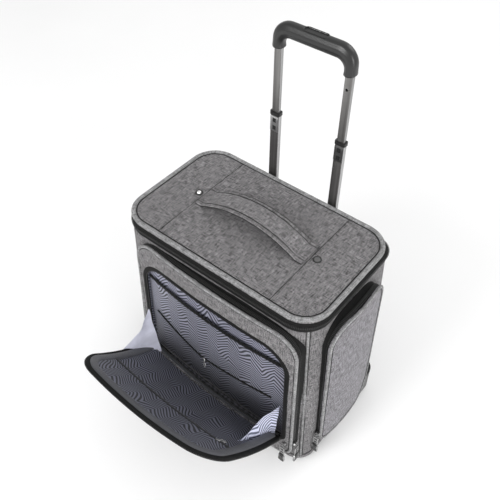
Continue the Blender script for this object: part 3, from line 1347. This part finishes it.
def make_grip():
    """A bridge-shaped grip: oval in section, ridged along its length and flared at its feet."""
    counts = (6, 10, 24)
    outer = bridge(GRIP_HALF, GRIP_Z1, GRIP_R_OUT, GRIP_Z0, counts)
    inner = bridge(GRIP_HALF - GRIP_LEG, GRIP_Z1 - GRIP_BAR, GRIP_R_IN, GRIP_Z0, counts)
    across, up = oval(2.0, 2.0, 32, 0.75).T
    ridge = 1.0 - 0.10 * (np.abs(across) > 0.42)
    rows = []
    for n, (a, b) in enumerate(zip(outer, inner)):
        end = min(n, len(outer) - 1 - n)
        flare = 1.0 + 0.10 * max(0.0, 1 - end / 4.0)
        points = (a + b) / 2 + across[:, None] * (a - b) / 2 * flare**0.5
        deep = up * GRIP_D / 2 * flare
        rows.append(np.column_stack([points[:, 0], TUBE_Y + deep * ridge, points[:, 1]]))
    grip = own(grid("grip_body", rows, True), GRIP, None)
    close_ends(grip, 32)
    smoothed(grip)
    slot = grid("slot", [rounded_line(41.5, 12.5, 6.2, z) for z in (690.0, 730.0)], True)
    close_ends(slot, len(slot.data.vertices) // 2)
    with editing(slot) as work:
        bmesh.ops.recalc_face_normals(work, faces=work.faces)
    cut = grip.modifiers.new("button_slot", "BOOLEAN")
    cut.operation = "DIFFERENCE"
    cut.object = slot
    cut.solver = "EXACT"
    bpy.context.view_layer.update()
    graph = bpy.context.evaluated_depsgraph_get()
    finished = bpy.data.meshes.new_from_object(grip.evaluated_get(graph), depsgraph=graph)
    grip.modifiers.clear()
    grip.data = finished
    bpy.data.objects.remove(slot)
    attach(grip, "inner_stage")
    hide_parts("grip")
    rim = rounded_line(42.5, 13.5, 6.7, GRIP_Z1 - 0.9)
    own(sweep("button_surround", rim, oval(2.0, 1.2), UP, True), BLACK, "inner_stage")


def rounded_line(width, deep, radius, z):
    """A rounded oblong round the handle's middle line, at a height."""
    half, d = width / 2, deep / 2
    corners = [(half, d), (-half, d), (-half, -d), (half, -d)]
    loop = rounded_loop(corners, (radius - 0.2,) * 4, (16, 2, 16, 2), 8)
    return at_height(loop + np.array([0.0, TUBE_Y]), z)


def low_relief(name, half_w, half_h, radius, x, z, steps):
    """A thin raised oblong on the front of a tube, through (share, lift) steps from its edge inwards."""
    corners = [(half_w, half_h), (-half_w, half_h), (-half_w, -half_h), (half_w, -half_h)]
    loop = rounded_loop(corners, (radius,) * 4, (2,) * 4, 4)
    rows = []
    for share, lift in steps:
        level = np.full(len(loop), TUBE_Y - STAGE_D / 2 - lift)
        rows.append(np.column_stack([loop[:, 0] * share + x, level, loop[:, 1] * share + z]))
    return grid(name, rows, True)


def make_stop_plates():
    """The light plate with a square black hole under each collar, and the second hole below it."""
    high, low = STOP_HEIGHTS
    mid, half = (high + low) / 2, (high - low) / 2 + 7.5
    plate = ((1.0, 0.0), (0.97, 0.14), (0.5, 0.15), (0.02, 0.15))
    button = ((1.0, 0.15), (0.94, 0.24), (0.8, 0.22), (0.05, 0.2))
    holes = []
    for name, x, material in (("stop_plate_left", -TUBE_X, STEEL), ("stop_plate_right", TUBE_X, GUNMETAL)):
        own(low_relief(name, 8.6, half, 1.4, x, mid, plate), material, "middle_stage")
        holes += [low_relief("hole", 3.4, 4.2, 0.7, x, z, button) for z in STOP_HEIGHTS]
    own(joined("stop_buttons", holes), BLACK, "middle_stage")


# ---------------------------------------------------------------- pull tabs
def make_tabs():
    """A soft moulded sleeve with dark cross bars round the end of each zip pull."""
    for name in ZIPS:
        low, high = local_box(f"{name}_pull")
        size = high - low
        middle = (low + high) / 2
        long_axis, thin_axis = int(np.argmax(size)), int(np.argmin(size))
        wide_axis = 3 - long_axis - thin_axis
        wide, thick = size[wide_axis] + 0.6, size[thin_axis] + 0.7
        upright = long_axis == 2
        start = low[long_axis] - 0.3 if upright else high[long_axis] + 0.3

        def placed(ring, along):
            """An oval set square to the pull, some way along it from its free end."""
            points = np.zeros((len(ring), 3))
            points[:, wide_axis] = middle[wide_axis] + ring[:, 0]
            points[:, thin_axis] = middle[thin_axis] + ring[:, 1]
            points[:, long_axis] = start + along if upright else start - along
            return points

        rows = []
        for along, grow in ((0.0, 0.05), (0.05, 0.62), (0.6, 0.86), (2.0, 1.0), (4.4, 0.97), (7.0, 0.95),
                            (9.4, 0.97), (10.8, 1.0), (11.6, 0.84), (TAB_LENGTH, 0.6), (TAB_LENGTH, 0.05)):
            rows.append(placed(oval(wide * grow, thick * (0.5 + 0.5 * grow), 20, 0.45), along))
        body = f"{name}_pull" if "side" not in name else f"side_pull_{name.split('_')[1]}"
        tab = own(grid(f"{name}_tab", rows, True), PULL_TAB, body)
        bars = []
        for along in PULL_BARS:
            rows = [placed(oval(wide * 0.72 * grow, thick * grow, 16, 0.4), along + shift)
                    for shift, grow in ((-0.9, 0.7), (-0.9, 1.0), (0.9, 1.0), (0.9, 0.7))]
            bars.append(grid("bar", rows, True))
        own(joined(f"{name}_pull_bars", bars), BLACK, body)
        smoothed(tab)


# ---------------------------------------------------------------- CAD parts that stay
KEPT = (
    (BOARD, "base_board"),
    (INNER_TUBE, "inner_tubes"),
    (MIDDLE_TUBE, "middle_tubes", "outer_tubes"),
    (BLACK, "tube_collars", "handle_top_mouth", "handle_foot_bracket", "guard_trims", "front_feet"),
    (BUTTON, "push_button"),
    (STEEL, "button_spring", "release_rods", "wheel_axles", "foot_screws"),
    (GUARD, "wheel_guard_left", "wheel_guard_right"),
    (TYRE, "wheel_tyre_left", "wheel_tyre_right"),
    (HUB, "wheel_hub_left", "wheel_hub_right"),
    (SILVER, *(f"{zip_name}_{part}" for zip_name in ZIPS for part in ("slider", "pull"))),
)


def dress_cad():
    for material, *nodes in KEPT:
        for node in nodes:
            obj = frame["nodes"][node]
            for held in [obj, *obj.children_recursive]:
                if held.type != "MESH":
                    continue
                if not held.material_slots:
                    held.data.materials.append(material)
                for slot in held.material_slots:
                    slot.material = material


# ---------------------------------------------------------------- stage
def make_stage():
    floor = mesh_object("floor", [(-6000, -6000, 0), (6000, -6000, 0), (6000, 6000, 0), (-6000, 6000, 0)],
                        [(0, 1, 2, 3)], [(-6, -6), (6, -6), (6, 6), (-6, 6)])
    n = Nodes("pale_floor")
    cloud = n.noise("UV", (1.5, 1.5, 1.0), 3.0)
    colour = n.ramp(cloud, [(0.3, grey(0.90)), (0.7, grey(0.93))])
    floor.data.materials.append(n.finish(colour, 0.7))

    world = bpy.data.worlds.new("studio")
    world.use_nodes = True
    tree = world.node_tree
    heading = tree.nodes.new("ShaderNodeTexCoord")
    split = tree.nodes.new("ShaderNodeSeparateXYZ")
    shade = tree.nodes.new("ShaderNodeMapRange")
    sky = tree.nodes["Background"]
    tree.links.new(heading.outputs["Generated"], split.inputs[0])
    tree.links.new(split.outputs["X"], shade.inputs["Value"])
    for name, given in (("From Min", -1.0), ("From Max", 1.0), ("To Min", 0.72), ("To Max", 0.98)):
        shade.inputs[name].default_value = given
    tree.links.new(shade.outputs["Result"], sky.inputs["Strength"])
    sky.inputs["Color"].default_value = (1.0, 1.0, 1.0, 1.0)
    bpy.context.scene.world = world

    middle = Vector((0.0, CENTRE_Y, 0.3))
    lamps = (
        ("key", (-0.6, -2.6, 1.9), 1.4, 44.0),
        ("fill", (2.6, -0.9, 1.1), 1.6, 34.0),
        ("rim", (0.6, 2.2, 2.2), 1.4, 12.0),
    )
    for name, place, size, power in lamps:
        light = bpy.data.lights.new(name, "AREA")
        light.shape = "DISK"
        light.size = size
        light.energy = power
        lamp = bpy.data.objects.new(name, light)
        lamp.location = Vector(place) + Vector((0, CENTRE_Y, 0))
        lamp.rotation_euler = (middle - lamp.location).to_track_quat("-Z", "Y").to_euler()
        bpy.context.scene.collection.objects.link(lamp)


CAMERA_AT = (0.4660, -0.6011, 1.1725)
CAMERA_AZIMUTH, CAMERA_ELEVATION, CAMERA_ROLL, CAMERA_LENS = 38.41, 46.89, 0.566, 46.28


def make_camera():
    a, e, r = (radians(v) for v in (CAMERA_AZIMUTH, CAMERA_ELEVATION, CAMERA_ROLL))
    back = Vector((sin(a) * cos(e), -cos(a) * cos(e), sin(e)))
    right = (-back).cross(Vector((0, 0, 1))).normalized()
    up = right.cross(-back)
    right, up = cos(r) * right + sin(r) * up, cos(r) * up - sin(r) * right
    data = bpy.data.cameras.new("camera")
    data.lens = CAMERA_LENS
    data.sensor_width = 36.0
    camera = bpy.data.objects.new("camera", data)
    turn = Matrix((right, up, back)).transposed().to_4x4()
    place = Vector(CAMERA_AT) + Vector((0, CENTRE_Y, 0))
    camera.matrix_world = Matrix.Translation(place) @ turn
    bpy.context.scene.collection.objects.link(camera)
    bpy.context.scene.camera = camera
    bpy.context.scene.view_settings.view_transform = "Standard"


make_camera()
make_stage()
make_case()
make_divider()
make_lid()
make_lid_zip()
make_strap()
make_studs()
make_front_gusset()
make_front_panel()
make_lining()
make_slip_pocket()
make_flap()
make_gores()
make_side_pockets()
make_cover()
make_grip()
make_stop_plates()
make_tabs()
dress_cad()

bpy.context.view_layer.update()
